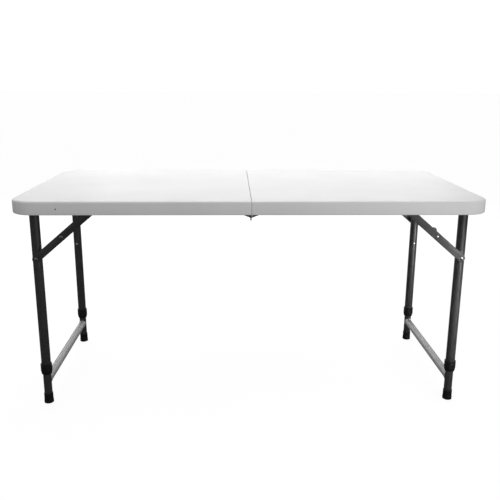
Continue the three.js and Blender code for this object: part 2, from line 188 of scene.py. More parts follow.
def turned(profile, sides=TURNED_SIDES, closed=True):
    """(points, faces) of a profile of (radius, distance) turned about Z."""
    points, faces, rings = [], [], []
    for radius, distance in profile:
        if radius < 1e-7:
            rings.append([len(points)] * sides)
            points.append((0, 0, distance))
            continue
        rings.append(list(range(len(points), len(points) + sides)))
        for side in range(sides):
            angle = 2 * math.pi * side / sides
            points.append((radius * math.cos(angle), radius * math.sin(angle), distance))
    pairs = list(zip(rings, rings[1:]))
    if closed:
        pairs.append((rings[-1], rings[0]))
    for low, high in pairs:
        for side in range(sides):
            ahead = (side + 1) % sides
            corners = [low[side], low[ahead], high[ahead], high[side]]
            face = list(dict.fromkeys(corners))
            if len(face) > 2:
                faces.append(face)
    return points, faces


def lofted(rings, capped=True):
    """(points, faces) of a skin over rings that have the same number of points."""
    count = len(rings[0])
    points = [p for ring in rings for p in ring]
    faces = []
    for r in range(len(rings) - 1):
        for i in range(count):
            j = (i + 1) % count
            faces.append([r * count + i, r * count + j, (r + 1) * count + j, (r + 1) * count + i])
    if capped:
        faces.append(list(range(count)))
        faces.append([(len(rings) - 1) * count + i for i in range(count)])
    return points, faces


def bead(path, radius):
    """(points, faces) of a rippled weld bead round a closed path."""
    askew = Vector((0.31, 0.53, 0.79))
    angles = [2 * math.pi * k / WELD_SIDES for k in range(WELD_SIDES)]
    rings = []
    count = len(path)
    for i, here in enumerate(path):
        before, after = Vector(path[i - 1]), Vector(path[(i + 1) % count])
        along = (after - before).normalized()
        across = along.cross(askew).normalized()
        up = along.cross(across)
        size = radius * (1 + WELD_RIPPLE * math.sin(i * WELD_RIPPLE_TURN))
        rings.append([
            tuple(Vector(here) + across * size * math.cos(a) + up * size * math.sin(a)) for a in angles
        ])
    rings.append(rings[0])
    return lofted(rings, capped=False)


def moved(shape, matrix):
    points, faces = shape
    return [tuple(matrix @ Vector(p)) for p in points], faces


def along_y(shape, x, z, side=1):
    """Lays a turned shape along Y through (x, z).

    Its distances grow towards the far side, or towards the near one where side is -1.
    """
    turn = Matrix(((1, 0, 0), (0, 0, side), (0, -side, 0))).to_4x4()
    return moved(shape, Matrix.Translation((x, 0, z)) @ turn)


def upright(shape, x, y):
    return moved(shape, Matrix.Translation((x, y, 0)))


def joined(*shapes):
    points, faces = [], []
    for more_points, more_faces in shapes:
        start = len(points)
        points += more_points
        faces += [[start + i for i in face] for face in more_faces]
    return points, faces


def mesh_from(shape, name):
    mesh = bpy.data.meshes.new(name)
    mesh.from_pydata([tuple(p) for p in shape[0]], [], shape[1])
    work = bmesh.new()
    work.from_mesh(mesh)
    bmesh.ops.remove_doubles(work, verts=work.verts, dist=1e-7)
    bmesh.ops.recalc_face_normals(work, faces=work.faces)
    work.to_mesh(mesh)
    work.free()
    return mesh


def evaluated(obj):
    """The object's mesh with its modifiers applied."""
    bpy.context.view_layer.update()
    graph = bpy.context.evaluated_depsgraph_get()
    return bpy.data.meshes.new_from_object(obj.evaluated_get(graph))


def carved(mesh, tool):
    """A mesh with a shape cut out of it."""
    scene = bpy.context.scene.collection
    body = bpy.data.objects.new("carve_body", mesh)
    knife = bpy.data.objects.new("carve_tool", mesh_from(tool, "carve_tool"))
    scene.objects.link(body)
    scene.objects.link(knife)
    change = body.modifiers.new("carve", "BOOLEAN")
    change.operation = "DIFFERENCE"
    change.solver = "EXACT"
    change.object = knife
    made = evaluated(body)
    bpy.data.objects.remove(body)
    bpy.data.objects.remove(knife)
    return made


def plate(outlines, low_y, high_y):
    """A flat plate in X-Z with softened edges. The outlines after the first are its holes."""
    curve = bpy.data.curves.new("plate", "CURVE")
    curve.dimensions = "2D"
    curve.fill_mode = "BOTH"
    curve.extrude = (high_y - low_y) / 2 - PLATE_EDGE
    curve.bevel_depth = PLATE_EDGE
    curve.bevel_resolution = 2
    curve.offset = -PLATE_EDGE
    for outline in outlines:
        line = curve.splines.new("POLY")
        line.points.add(len(outline) - 1)
        for point, (x, z) in zip(line.points, outline):
            point.co = (x, z, 0, 1)
        line.use_cyclic_u = True
    drawn = bpy.data.objects.new("plate", curve)
    bpy.context.scene.collection.objects.link(drawn)
    mesh = evaluated(drawn)
    bpy.data.objects.remove(drawn)
    turn = Matrix(((1, 0, 0), (0, 0, -1), (0, 1, 0))).to_4x4()
    mesh.transform(Matrix.Translation((0, (low_y + high_y) / 2, 0)) @ turn)
    work = bmesh.new()
    work.from_mesh(mesh)
    bmesh.ops.remove_doubles(work, verts=work.verts, dist=1e-6)
    bmesh.ops.recalc_face_normals(work, faces=work.faces)
    work.to_mesh(mesh)
    work.free()
    return mesh


def circle(x, z, radius, sides=SMALL_SIDES):
    return [
        (x + radius * math.cos(a), z + radius * math.sin(a))
        for a in (2 * math.pi * k / sides for k in range(sides))
    ]


def arc(x, z, radius, start, end, steps=14):
    """Points on an arc, from one angle to another in degrees."""
    angles = [math.radians(start + (end - start) * k / steps) for k in range(steps + 1)]
    return [(x + radius * math.cos(a), z + radius * math.sin(a)) for a in angles]


def show(node, mesh, material, smooth=32):
    """Puts a finished mesh in place of a CAD node, on the same body."""
    mesh.materials.clear()
    mesh.materials.append(material)
    mesh.polygons.foreach_set("use_smooth", [True] * len(mesh.polygons))
    mesh.set_sharp_from_angle(angle=math.radians(smooth))
    piece = bpy.data.objects.new("look_" + node, mesh)
    bpy.context.scene.collection.objects.link(piece)
    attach(piece, frame["nodes"][node]["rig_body"])
    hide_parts(node)
    return piece


# ---------------------------------------------------------------- materials


class Nodes:
    """Short calls for building one material's node tree."""

    def __init__(self, name):
        self.material = bpy.data.materials.new(name)
        self.material.use_nodes = True
        self.tree = self.material.node_tree
        self.shader = self.tree.nodes["Principled BSDF"]
        self.place = self.tree.nodes.new("ShaderNodeTexCoord").outputs["Object"]

    def node(self, kind, **values):
        made = self.tree.nodes.new(kind)
        for key, value in values.items():
            setattr(made, key, value)
        return made

    def link(self, a, b):
        self.tree.links.new(a, b)

    def noise(self, scale, detail=3.0, roughness=0.55, stretch=None):
        made = self.node("ShaderNodeTexNoise")
        made.inputs["Scale"].default_value = scale
        made.inputs["Detail"].default_value = detail
        made.inputs["Roughness"].default_value = roughness
        place = self.place
        if stretch:
            mapping = self.node("ShaderNodeMapping")
            mapping.inputs["Scale"].default_value = stretch
            self.link(self.place, mapping.inputs["Vector"])
            place = mapping.outputs["Vector"]
        self.link(place, made.inputs["Vector"])
        return made.outputs["Fac"]

    def cells(self, scale):
        made = self.node("ShaderNodeTexVoronoi")
        made.feature = "SMOOTH_F1"
        made.inputs["Scale"].default_value = scale
        made.inputs["Smoothness"].default_value = 0.6
        self.link(self.place, made.inputs["Vector"])
        return made.outputs["Distance"]

    def ranged(self, value, low, high, to_low, to_high):
        made = self.node("ShaderNodeMapRange")
        ends = {"From Min": low, "From Max": high, "To Min": to_low, "To Max": to_high}
        for name, number in ends.items():
            made.inputs[name].default_value = number
        self.link(value, made.inputs["Value"])
        return made.outputs["Result"]

    def mixed(self, factor, first, second):
        made = self.node("ShaderNodeMix", data_type="RGBA")
        self.link(factor, made.inputs["Factor"])
        for socket, colour in ((made.inputs[6], first), (made.inputs[7], second)):
            if isinstance(colour, tuple):
                socket.default_value = (*colour, 1)
            else:
                self.link(colour, socket)
        return made.outputs[2]

    def math(self, operation, a, b):
        made = self.node("ShaderNodeMath", operation=operation)
        for socket, value in zip(made.inputs, (a, b)):
            if isinstance(value, (int, float)):
                socket.default_value = value
            else:
                self.link(value, socket)
        return made.outputs[0]

    def edges(self, distance):
        """0 on flat areas, up to 1 along sharp edges, where a rounded normal turns from the true one."""
        bevel = self.node("ShaderNodeBevel", samples=4)
        bevel.inputs["Radius"].default_value = distance
        plain = self.node("ShaderNodeNewGeometry").outputs["Normal"]
        dot = self.node("ShaderNodeVectorMath", operation="DOT_PRODUCT")
        self.link(bevel.outputs[0], dot.inputs[0])
        self.link(plain, dot.inputs[1])
        return self.ranged(dot.outputs["Value"], 1.0, 0.9, 0.0, 1.0)

    def bumps(self, *layers):
        """Chains bump nodes of (height, distance, strength) into the shader's normal."""
        before = None
        for height, distance, strength in layers:
            bump = self.node("ShaderNodeBump")
            bump.inputs["Distance"].default_value = distance
            bump.inputs["Strength"].default_value = strength
            self.link(height, bump.inputs["Height"])
            if before is not None:
                self.link(before, bump.inputs["Normal"])
            before = bump.outputs["Normal"]
        self.link(before, self.shader.inputs["Normal"])

    def finish(self, colour, roughness, **sockets):
        self.link(colour, self.shader.inputs["Base Color"])
        self.link(roughness, self.shader.inputs["Roughness"])
        for name, value in sockets.items():
            self.shader.inputs[name.replace("_", " ")].default_value = value
        return self.material


def moulded_top():
    """Blow-moulded polyethylene: a fine pebble, faint clouding, light scuffs."""
    n = Nodes("top_plastic")
    cloud = n.noise(5.5, 4)
    fine = n.noise(420, 2)
    pebble = n.cells(620)
    scuff = n.noise(38, 6, 0.7, stretch=(0.35, 4.0, 1.0))
    clouding = n.ranged(cloud, 0.35, 0.65, 0, 1)
    colour = n.mixed(clouding, (0.80, 0.80, 0.80), (0.835, 0.835, 0.835))
    speck = n.ranged(fine, 0.62, 0.78, 0, 0.35)
    colour = n.mixed(speck, colour, (0.70, 0.70, 0.70))
    marks = n.ranged(scuff, 0.66, 0.76, 0, 0.16)
    colour = n.mixed(marks, colour, (0.62, 0.62, 0.62))
    rough = n.math("ADD", n.ranged(fine, 0.3, 0.7, 0.46, 0.58), n.ranged(scuff, 0.6, 0.75, 0, 0.08))
    n.bumps((n.noise(9, 2), 0.004, 0.10), (pebble, 0.0006, 0.42), (fine, 0.0003, 0.30))
    return n.finish(colour, rough, Specular_IOR_Level=0.42)


def powder_coat(name, dark, light, rough_low, rough_high, worn=(0.16, 0.16, 0.165), grain=0.35):
    """Powder-coated steel: orange peel, slight mottling, and wear where edges rub."""
    n = Nodes(name)
    peel = n.noise(760, 2)
    mottle = n.noise(60, 4)
    drift = n.noise(7, 3)
    colour = n.mixed(n.ranged(mottle, 0.35, 0.65, 0, 1), dark, light)
    rub = n.math("MULTIPLY", n.edges(0.0007), n.ranged(n.noise(150, 5, 0.7), 0.5, 0.68, 0, 0.55))
    colour = n.mixed(rub, colour, worn)
    sheen = n.ranged(drift, 0.3, 0.7, rough_low, rough_high)
    rough = n.math("ADD", sheen, n.ranged(peel, 0.3, 0.7, -0.03, 0.03))
    n.bumps((drift, 0.001, 0.08), (peel, 0.00025, grain))
    return n.finish(colour, rough, Specular_IOR_Level=0.5)


def moulded_black():
    """Injection-moulded plastic: matt spark grain, dust-grey rub on the edges."""
    n = Nodes("black_plastic")
    grain = n.noise(1300, 2)
    drift = n.noise(90, 3)
    fade = n.ranged(drift, 0.3, 0.7, 0, 1)
    colour = n.mixed(fade, (0.0040, 0.0040, 0.0042), (0.0075, 0.0075, 0.008))
    rub = n.math("MULTIPLY", n.edges(0.0008), n.ranged(n.noise(210, 4), 0.45, 0.65, 0, 0.5))
    colour = n.mixed(rub, colour, (0.05, 0.05, 0.05))
    n.bumps((grain, 0.0003, 0.4))
    return n.finish(colour, n.ranged(grain, 0.3, 0.7, 0.42, 0.55), Specular_IOR_Level=0.22)


def plated_steel(name, dull, bright, rough_low, rough_high):
    """Plated steel: fine streaks, faint tarnish."""
    n = Nodes(name)
    streak = n.noise(900, 3, 0.6, stretch=(1.0, 0.15, 1.0))
    tarnish = n.noise(160, 4)
    colour = n.mixed(n.ranged(tarnish, 0.35, 0.65, 0, 1), dull, bright)
    polish = n.ranged(streak, 0.3, 0.7, rough_low, rough_high)
    rough = n.math("ADD", polish, n.ranged(tarnish, 0.4, 0.7, 0, 0.06))
    n.bumps((streak, 0.00012, 0.3))
    return n.finish(colour, rough, Metallic=1.0)


TOP = moulded_top()
DARK = powder_coat("dark_paint", (0.027, 0.027, 0.028), (0.037, 0.037, 0.038), 0.38, 0.48)
GREY = powder_coat(
    "grey_paint",
    (0.29, 0.29, 0.292),
    (0.33, 0.33, 0.332),
    0.44,
    0.52,
    worn=(0.36, 0.36, 0.36),
    grain=0.08,
)
BLACK = powder_coat("black_steel", (0.010, 0.010, 0.0105), (0.017, 0.017, 0.018), 0.42, 0.54)
PLASTIC = moulded_black()
ZINC = plated_steel("zinc", (0.42, 0.42, 0.43), (0.58, 0.58, 0.59), 0.18, 0.28)
RIVET = plated_steel("rivet_steel", (0.16, 0.16, 0.163), (0.24, 0.24, 0.243), 0.20, 0.30)


# ---------------------------------------------------------------- the top


def half_ring(side, seam, end, half, end_radius, seam_radius, height):
    """Points round one half of the top at a height."""
    corners = (
        (seam + seam_radius, seam_radius - half, seam_radius, 180),
        (end - end_radius, end_radius - half, end_radius, 270),
        (end - end_radius, half - end_radius, end_radius, 0),
        (seam + seam_radius, half - seam_radius, seam_radius, 90),
    )
    points = []
    for x, y, radius, start in corners:
        bend = arc(x, y, radius, start, start + 90, CORNER_STEPS)
        points += [(side * px, py, height) for px, py in bend]
    return points


def top_profile(top, foot):
    """Rings from the top's middle to the panel's underside, each with four values.

    They are its inset from the rim, its inset from the seam, its height and its corner radius at the seam.
    """
    steps = [(MIDDLE_INSET, 0.05, top, MIDDLE_CORNER), (0.02, 0.009, top, 0.004)]
    for angle in range(0, 91, 15):
        turn = math.radians(angle)
        fall = EDGE_ROUND * (1 - math.cos(turn))
        out = 1 - math.sin(turn)
        steps.append((EDGE_ROUND * out, SEAM_ROUND * out, top - fall, 0.0014))
    steps.append((0, 0, (top + foot) / 2, 0.0014))
    for angle in range(0, 91, 18):
        turn = math.radians(angle)
        inset = RIM_FOOT_ROUND * (1 - math.cos(turn))
        steps.append((inset, inset * 0.6, foot + RIM_FOOT_ROUND * (1 - math.sin(turn)), 0.0014))
    for angle in range(0, 91, 30):
        turn = math.radians(angle)
        short = INNER_ROUND * (1 - math.sin(turn))
        rise = INNER_ROUND * (1 - math.cos(turn))
        steps.append((RIM_WALL - short, CENTRE_WALL - short, foot + rise, 0.004))
    for angle in range(0, 91, 30):
        turn = math.radians(angle)
        into = INNER_ROUND * (1 - math.cos(turn))
        height = PANEL_UNDERSIDE - INNER_ROUND * (1 - math.sin(turn))
        steps.append((RIM_WALL + into, CENTRE_WALL + into, height, 0.005))
    return steps


def notch_tool(side, y, foot, wall_end):
    """A round-cornered block that opens the seam wall for a folded foot."""
    section = filleted(
        [
            (y - NOTCH_HALF, foot - 0.002),
            (y + NOTCH_HALF, foot - 0.002),
            (y + NOTCH_HALF, NOTCH_TOP),
            (y - NOTCH_HALF, NOTCH_TOP),
        ],
        [0, 0, NOTCH_ROUND, NOTCH_ROUND],
        steps=6,
    )
    return lofted([[(side * x, py, pz) for py, pz in section] for x in (-0.001, wall_end)])


def dimple_tools(side, start, end, reach):
    """Rounded cones in staggered rows, which the mould presses into the underside."""
    cone = turned(
        [
            (0, -0.002),
            (DIMPLE_RADIUS * 1.12, -0.002),
            (DIMPLE_RADIUS, 0),
            (DIMPLE_RADIUS * 0.72, DIMPLE_DEPTH * 0.72),
            (DIMPLE_RADIUS * 0.45, DIMPLE_DEPTH * 0.95),
            (0, DIMPLE_DEPTH),
        ],
        sides=12,
        closed=False,
    )
    cones = []
    rows = int(2 * reach / DIMPLE_PITCH)
    columns = int((end - start) / DIMPLE_PITCH)
    for row in range(rows + 1):
        y = -reach + row * 2 * reach / rows
        for column in range(columns):
            x = start + (column + 0.25 + 0.5 * (row % 2)) * (end - start) / columns
            cones.append(moved(cone, Matrix.Translation((side * x, y, PANEL_UNDERSIDE))))
    return joined(*cones)


def make_top(name, side):
    low, high, _ = box_of("top_" + name)
    seam = min(abs(low.x), abs(high.x))
    end = max(abs(low.x), abs(high.x))
    half = high.y
    rings = []
    for inset, from_seam, height, corner in top_profile(high.z, low.z):
        round_end = max(CORNER_RADIUS - inset, MIDDLE_CORNER)
        ring = half_ring(side, seam + from_seam, end - inset, half - inset, round_end, corner, height)
        rings.append(ring)
    mesh = mesh_from(lofted(rings), "top_" + name)
    leg_y = box_of(f"outer_leg_{name}_far")[2].y
    notches = [notch_tool(side, y, low.z, seam + CENTRE_WALL + 0.004) for y in (-leg_y, leg_y)]
    rail_y = box_of(f"side_rail_{name}_far")[0].y
    dimples = dimple_tools(side, seam + CENTRE_WALL + 0.008, end - RIM_WALL - 0.02, rail_y - 0.014)
    mesh = carved(mesh, joined(*notches))
    mesh = carved(mesh, dimples)
    if side < 0:
        length = VENT_DEPTH + VENT_START
        rod = turned([(0, 0), (VENT_RADIUS, 0), (VENT_RADIUS, length), (0, length)], 20, False)
        out = Matrix.Translation((-VENT_FROM_CENTRE, -half - VENT_START, VENT_HEIGHT))
        mesh = carved(mesh, moved(along_y(rod, 0, 0), out))
    return show("top_" + name, mesh, TOP, smooth=28)


# ---------------------------------------------------------------- legs and feet


def tube_profile(bore, radius, low, high):
    return filleted([(bore, low), (radius, low), (radius, high), (bore, high)], SOFT, steps=2)


def cylinder_tool(x, y, z, radius, reach, sides=32):
    """A round tool along Y whose middle is at (x, y, z)."""
    rod = turned([(0, -reach), (radius, -reach), (radius, reach), (0, reach)], sides, False)
    return moved(along_y(rod, x, z), Matrix.Translation((0, y, 0)))


def button_hole(leg, outward, height):
    """A tool that bores a snap button's hole through the side of a leg that faces the table's middle."""
    return cylinder_tool(leg.x, leg.y - outward * 0.02, height, BUTTON_HOLE, BUTTON_HOLE_REACH, 24)


def saddle(radius, other):
    """Points round a tube along Z, each with how far a tube along Y reaches from its own axis there."""
    points = []
    for k in range(WELD_STEPS):
        angle = 2 * math.pi * k / WELD_STEPS
        x, y = radius * math.cos(angle), radius * math.sin(angle)
        points.append((x, y, math.sqrt(max(other * other - x * x, 0))))
    return points


def make_outer_leg(side, place, outward):
    node = f"outer_leg_{side}_{place}"
    low, high, mid = box_of(node)
    radius = (high.x - low.x) / 2
    pivot_low, pivot_high, pivot = box_of("pivot_tube_" + side)
    pivot_radius = (pivot_high.z - pivot_low.z) / 2
    button = box_of(f"snap_button_{side}_{place}")[2]
    shape = upright(turned(tube_profile(radius - TUBE_WALL, radius, low.z, high.z)), mid.x, mid.y)
    mesh = mesh_from(shape, node)
    cope = cylinder_tool(mid.x, mid.y, pivot.z, pivot_radius + CLEARANCE, 0.03, TURNED_SIDES)
    mesh = carved(mesh, cope)
    mesh = carved(mesh, button_hole(mid, outward, button.z))
    path = [
        (mid.x + x, mid.y + y, min(pivot.z - z, high.z + 0.001))
        for x, y, z in saddle(radius - 0.0004, pivot_radius + 0.001)
    ]
    weld = mesh_from(bead(path, WELD_RADIUS), "weld")
    return show(node, merged(mesh, weld), DARK)


def merged(*meshes):
    """Several meshes as one."""
    work = bmesh.new()
    for mesh in meshes:
        work.from_mesh(mesh)
    made = bpy.data.meshes.new(meshes[0].name)
    work.to_mesh(made)
    work.free()
    return made


def make_inner_leg(side, place, outward):
    node = f"inner_leg_{side}_{place}"
    low, high, mid = box_of(node)
    radius = (high.x - low.x) / 2
    button = box_of(f"snap_button_{side}_{place}")[2]
    shape = upright(turned(tube_profile(radius - TUBE_WALL, radius, low.z, high.z)), mid.x, mid.y)
    holes = [button_hole(mid, outward, button.z + k * HEIGHT_STEP) for k in range(3)]
    return show(node, carved(mesh_from(shape, node), joined(*holes)), DARK)


def make_pivot_tube(side):
    node = "pivot_tube_" + side
    low, high, mid = box_of(node)
    radius = (high.z - low.z) / 2
    shape = along_y(turned(tube_profile(radius - TUBE_WALL, radius, low.y, high.y)), mid.x, mid.z)
    return show(node, mesh_from(shape, node), DARK)


def make_crossbar(side):
    node = "crossbar_" + side
    low, high, mid = box_of(node)
    radius = (high.z - low.z) / 2
    leg_y = box_of(f"inner_leg_{side}_far")[2].y
    shape = along_y(turned(tube_profile(radius - TUBE_WALL, radius, -leg_y, leg_y)), mid.x, mid.z)
    mesh = mesh_from(shape, node)
    bore = radius + 0.0002
    rod = turned([(0, -0.03), (bore, -0.03), (bore, 0.03), (0, 0.03)], TURNED_SIDES, False)
    copes = [moved(rod, Matrix.Translation((mid.x, y, mid.z))) for y in (-leg_y, leg_y)]
    mesh = carved(mesh, joined(*copes))
    welds = []
    for end in (-1, 1):
        path = []
        for k in range(WELD_STEPS):
            angle = 2 * math.pi * k / WELD_STEPS
            x = (radius - 0.0002) * math.cos(angle)
            z = (radius - 0.0002) * math.sin(angle)
            away = math.sqrt((radius + 0.0012) ** 2 - x * x)
            path.append((mid.x + x, end * (leg_y - away), mid.z + z))
        welds.append(bead(path, WELD_RADIUS * 0.9))
    return show(node, merged(mesh, mesh_from(joined(*welds), "weld")), GREY)


def make_collar(side, place):
    """A tapered bush with a rolled lip and a shallow groove under it."""
    node = f"collar_{side}_{place}"
    low, high, mid = box_of(node)
    radius = (high.x - low.x) / 2
    leg = box_of(f"outer_leg_{side}_{place}")
    inner = box_of(f"inner_leg_{side}_{place}")
    outer_radius = (leg[1].x - leg[0].x) / 2
    inner_radius = (inner[1].x - inner[0].x) / 2
    ledge = leg[0].z - CLEARANCE
    profile = filleted(
        [
            (inner_radius + CLEARANCE, low.z),
            (radius - 0.0021, low.z),
            (radius, low.z + 0.010),
            (radius, high.z - 0.0075),
            (radius - 0.0005, high.z - 0.0068),
            (radius - 0.0005, high.z - 0.0058),
            (radius, high.z - 0.0051),
            (radius, high.z),
            (outer_radius + 0.0002, high.z),
            (outer_radius + 0.0002, ledge),
            (inner_radius + CLEARANCE, ledge),
        ],
        [0.0006, 0.0012, 0.004, 0.0003, 0.0003, 0.0003, 0.0003, 0.0013, 0.0004, 0, 0],
    )
    return show(node, mesh_from(upright(turned(profile), mid.x, mid.y), node), PLASTIC)


def make_foot_cap(side, place):
    """A moulded cup with a rounded shoulder, a slight waist and rings under its foot."""
    node = f"foot_cap_{side}_{place}"
    low, high, mid = box_of(node)
    radius = (high.x - low.x) / 2
    inner = box_of(f"inner_leg_{side}_{place}")
    bore = (inner[1].x - inner[0].x) / 2 + CLEARANCE
    floor = inner[0].z - CLEARANCE
    groove = 0.0006
    profile = [(0, groove)]
    for ring_in, ring_out in ((0.30, 0.42), (0.58, 0.70)):
        profile += [(radius * (ring_in - 0.02), groove), (radius * ring_in, 0)]
        profile += [(radius * ring_out, 0), (radius * (ring_out + 0.02), groove)]
    profile += [(radius * 0.80, groove), (radius * 0.82, 0)]
    profile += filleted(
        [
            (radius * 0.83, 0),
            (radius, 0),
            (radius, 0.006),
            (radius - 0.0006, 0.012),
            (radius - 0.0006, high.z - 0.004),
            (radius - 0.0006, high.z),
            (bore, high.z),
            (bore, high.z - 0.002),
        ],
        [0, 0.0018, 0.002, 0.003, 0, 0.0026, 0.0005, 0],
        closed=False,
    )
    profile += [(bore, floor), (0, floor)]
    shape = turned([(r, low.z + z) for r, z in profile], closed=False)
    return show(node, mesh_from(upright(shape, mid.x, mid.y), node), PLASTIC)


def dome(radius, start, height):
    """The outline of a domed head that starts at a distance."""
    points = [(radius * 0.94, start), (radius, start + height * 0.12), (radius, start + height * 0.3)]
    for k in range(1, HEAD_STEPS + 1):
        angle = math.radians(90 * k / HEAD_STEPS)
        points.append((radius * math.cos(angle), start + height * (0.3 + 0.7 * math.sin(angle))))
    points[-1] = (0, start + height)
    return points


def make_button(side, place, outward):
    node = f"snap_button_{side}_{place}"
    low, high, mid = box_of(node)
    radius = (high.x - low.x) / 2
    length = high.y - low.y
    straight = length * 0.3
    profile = [(0, 0), (radius, 0), (radius, straight)] + dome(radius, straight, length - straight)[1:]
    base = low.y if outward < 0 else high.y
    shape = along_y(turned(profile, SMALL_SIDES, False), mid.x, mid.z, -outward)
    placed = moved(shape, Matrix.Translation((0, base, 0)))
    return show(node, mesh_from(placed, node), ZINC)


# ---------------------------------------------------------------- braces


def capsule(a, b, radius):
    """The outline of a flat link with a round end about each of two points."""
    heading = math.degrees(math.atan2(b[1] - a[1], b[0] - a[0]))
    first = arc(*a, radius, heading + 90, heading + 270, LINK_END_STEPS)
    return first + arc(*b, radius, heading - 90, heading + 90, LINK_END_STEPS)


def pivots(side, place):
    """The (x, z) of a brace's three pivots: on the leg, at the knee, on the rail."""
    names = ("leg_rivet", "knee_rivet", "rail_rivet")
    middles = [box_of(f"{name}_{side}_{place}")[2] for name in names]
    return [(m.x, m.z) for m in middles]


def make_links(side, place):
    foot, knee, head = pivots(side, place)
    lower = f"lower_link_{side}_{place}"
    low, high, _ = box_of(lower)
    mesh = plate([capsule(foot, knee, LINK_HALF_WIDTH), circle(*foot, RIVET_HOLE)], low.y, high.y)
    show(lower, mesh, DARK)
    upper = f"upper_link_{side}_{place}"
    low, high, _ = box_of(upper)
    holes = [circle(*knee, RIVET_HOLE), circle(*head, RIVET_HOLE)]
    mesh = plate([capsule(knee, head, LINK_HALF_WIDTH), *holes], low.y, high.y)
    if (side, place) in (("right", "near"), ("left", "far")):
        line = (Vector(head) - Vector(foot)).normalized()
        above = Vector((-line.y, line.x)) if line.x > 0 else Vector((line.y, -line.x))
        centre = Vector(knee) + above * LOBE_RISE + line * LOBE_ALONG
        lobe = plate([circle(*centre, LOBE_RADIUS)], low.y + 0.00005, high.y - 0.00005)
        mesh = merged(mesh, lobe)
    show(upper, mesh, DARK)


def make_rivets(side, place, outward):
    """Three turned rivets with domed heads, and the washers that stand off the links."""
    for name in ("leg_rivet", "knee_rivet", "rail_rivet"):
        node = f"{name}_{side}_{place}"
        low, high, mid = box_of(node)
        start, end = sorted((abs(low.y), abs(high.y)))
        shank = RIVET_HOLE - CLEARANCE
        head = end - RIVET_HEAD
        wide = (high.x - low.x) / 2
        if name == "leg_rivet":
            profile = [(0, start), (shank, start), (shank, head)] + dome(wide, head, RIVET_HEAD)
        elif name == "knee_rivet":
            profile = [(0, start), *washer(wide, start), (shank, start + RIVET_HEAD), (shank, head)]
            profile += dome(wide * 0.84, head, RIVET_HEAD)
        else:
            spacer = box_of(f"upper_link_{side}_{place}")
            stand = max(abs(spacer[0].y), abs(spacer[1].y)) + CLEARANCE
            profile = tail_of(wide * 0.84, start)
            profile += [(shank, start + RIVET_HEAD), (shank, stand), *washer(wide, stand)]
            profile += [(shank, stand + RIVET_HEAD), (shank, head)] + dome(wide * 0.84, head, RIVET_HEAD)
        shape = along_y(turned(profile, SMALL_SIDES, False), mid.x, mid.z, outward)
        show(node, mesh_from(shape, node), RIVET)


def tail_of(radius, start):
    """The outline of a domed head that faces back from where a rivet starts."""
    return [(r, 2 * start + RIVET_HEAD - z) for r, z in reversed(dome(radius, start, RIVET_HEAD))]


def washer(radius, start):
    """The outline of a flat washer with softened rims."""
    return [
        (radius - SOFT, start),
        (radius, start + SOFT),
        (radius, start + RIVET_HEAD - SOFT),
        (radius - SOFT, start + RIVET_HEAD),
    ]


# ---------------------------------------------------------------- rails, brackets and hinges


def make_rail(side, place, outward):
    """A roll-formed angle with a rounded bend."""
    node = f"side_rail_{side}_{place}"
    low, high, _ = box_of(node)
    inner, rim = sorted((abs(low.y), abs(high.y)))
    section = filleted(
        [
            (inner, low.z),
            (inner + RAIL_THICKNESS, low.z),
            (inner + RAIL_THICKNESS, high.z - RAIL_THICKNESS),
            (rim, high.z - RAIL_THICKNESS),
            (rim, high.z),
            (inner, high.z),
        ],
        [0.0004, 0.0004, 0.0012, 0.0004, 0.0004, 0.003],
    )
    spine = [
        (low.x, RAIL_END_SHRINK),
        (low.x + SOFT, 0),
        (high.x - SOFT, 0),
        (high.x, RAIL_END_SHRINK),
    ]
    middle = (inner + rim) / 2
    rings = []
    for x, shrink in spine:
        rings.append([(x, outward * (y - math.copysign(shrink, y - middle)), z) for y, z in section])
    mesh = mesh_from(lofted(rings), node)
    head = box_of(f"rail_rivet_{side}_{place}")[2]
    hole = cylinder_tool(head.x, outward * (inner + 0.001), head.z, RIVET_HOLE, 0.003, SMALL_SIDES)
    return show(node, carved(mesh, hole), BLACK)


def make_bracket(side, place):
    node = f"pivot_bracket_{side}_{place}"
    low, high, mid = box_of(node)
    tube_low, tube_high, tube_mid = box_of("pivot_tube_" + side)
    bore = (tube_high.z - tube_low.z) / 2 + CLEARANCE
    eye = tube_mid.z - low.z
    half = (high.x - low.x) / 2
    outline = [(mid.x + half, high.z), (mid.x - half, high.z), (mid.x - half, high.z - 0.004)]
    outline += arc(mid.x, tube_mid.z, eye, 180, 360, 24)
    outline += [(mid.x + half, high.z - 0.004)]
    mesh = plate([outline, circle(mid.x, tube_mid.z, bore, 40)], low.y, high.y)
    return show(node, mesh, BLACK)


def leaf_outline(side, place):
    """A hinge leaf's outline, wedge-shaped towards the pin, and the pin's hole."""
    low, high, _ = box_of(f"hinge_leaf_right_{place}")
    pin = box_of(f"hinge_pin_{place}")[2]
    rim = box_of("top_right")[0].z
    lug = pin.z - low.z
    clear = box_of("top_right")[0].x + CENTRE_WALL + HINGE_CLEARANCE
    above = rim + HINGE_CLEARANCE
    under = rim - HINGE_CLEARANCE
    lean = math.degrees(math.atan((rim - pin.z + lug) / HINGE_SLOPE_END))
    points = [(high.x, above), (high.x, high.z), (clear, high.z), (clear, under), (lug * 0.5, under)]
    points += arc(0, pin.z, lug, 135, 270 + lean, 16)
    points += [(HINGE_SLOPE_END, rim)]
    return [[(side * x, z) for x, z in points], circle(0, pin.z, HINGE_HOLE)]


